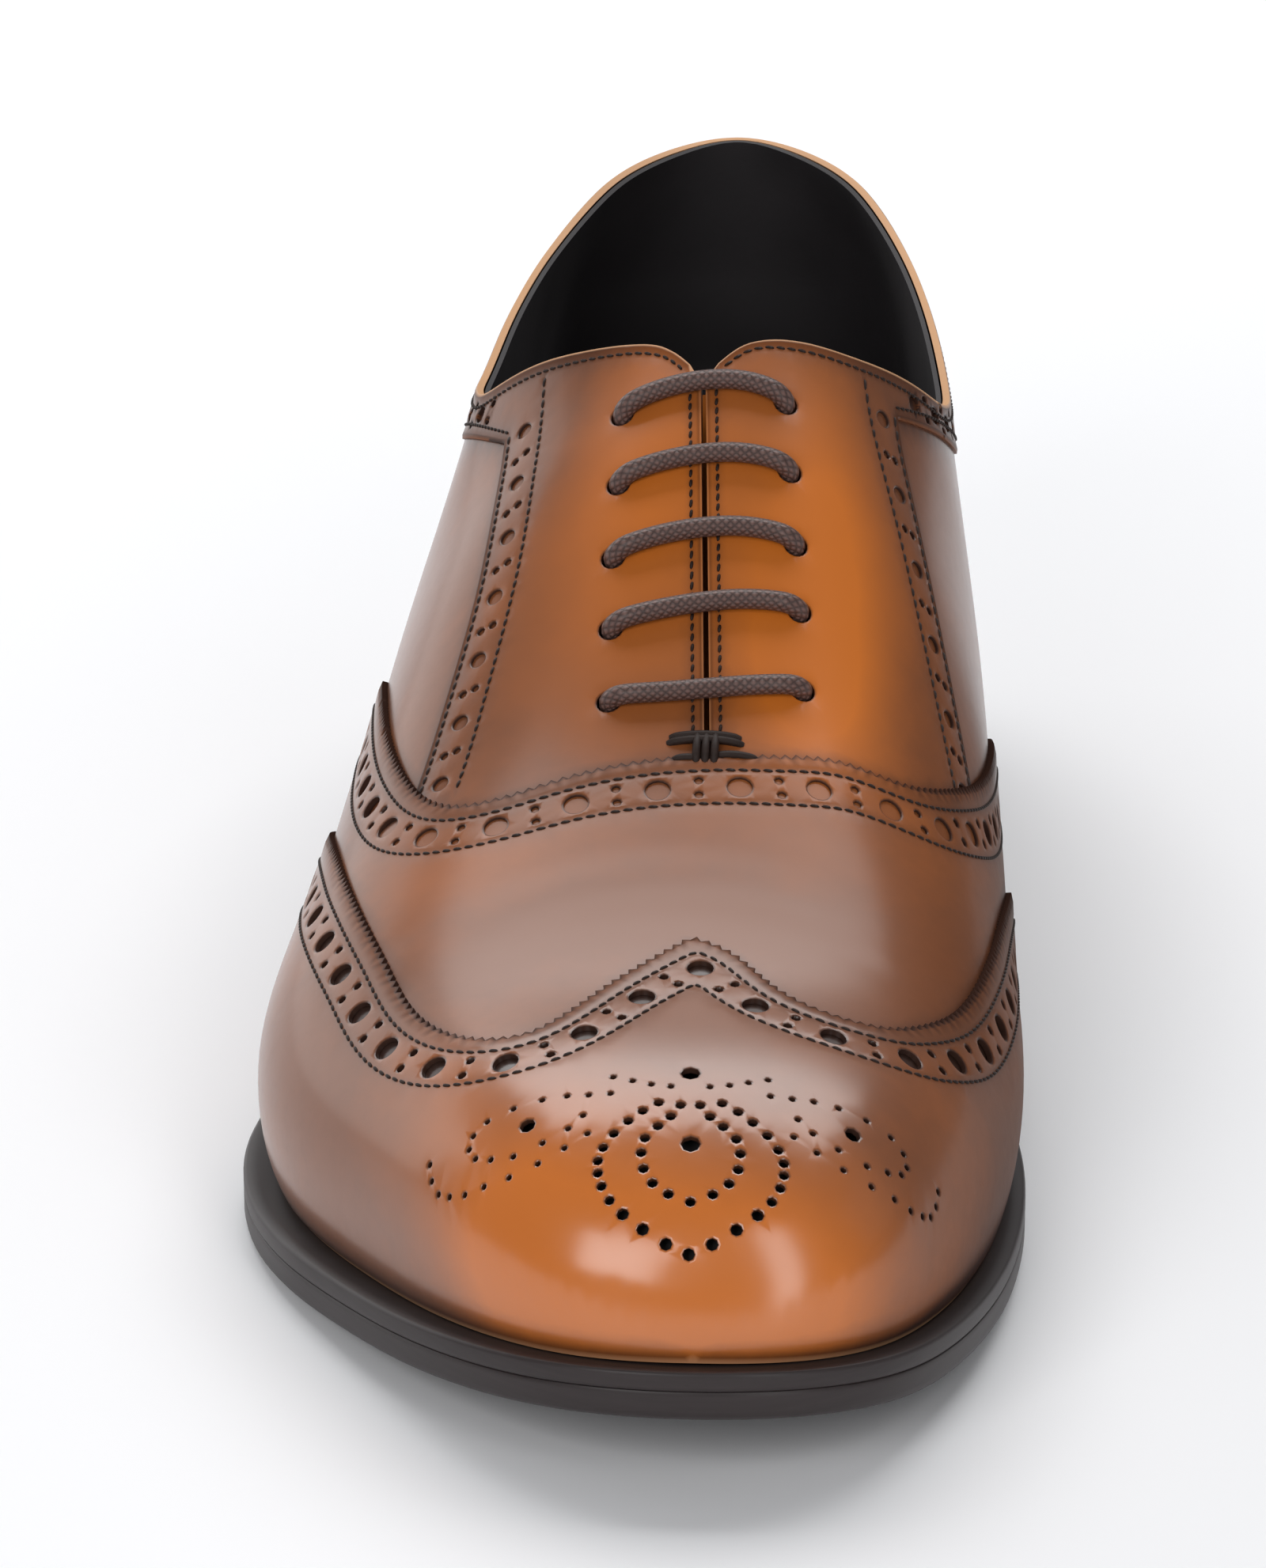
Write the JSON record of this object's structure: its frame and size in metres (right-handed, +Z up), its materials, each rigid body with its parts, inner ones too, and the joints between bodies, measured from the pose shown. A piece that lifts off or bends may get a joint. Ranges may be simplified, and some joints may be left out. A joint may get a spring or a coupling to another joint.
{
  "type": "leather brogue oxford shoe",
  "caption": "Wing-tip leather lace-up shoe for the right foot, with punched brogue panels, a stitched-down welt, a leather sole and a stacked heel; worn on the foot.",
  "frame": {"origin": "centre of the shoe's outline on the floor it stands on", "axes": "+Z up, the toe points to -Y and the heel to +Y, +X is the inner (medial) side of the foot"},
  "size_m": [0.113, 0.3, 0.1041],
  "materials": {
    "tan_leather": "burnished satin",
    "lace_cotton": "waxed",
    "lining_leather": "matte",
    "sole_leather": "satin",
    "heel_rubber": "matte"
  },
  "bodies": {
    "root": {"upper": "tan_leather", "wing_cap": "tan_leather", "heel_counter": "tan_leather", "tongue": "tan_leather", "lace": "lace_cotton", "insole": "lining_leather", "welt": "sole_leather", "outsole": "sole_leather", "heel": "heel_rubber"}
  },
  "joints": []
}
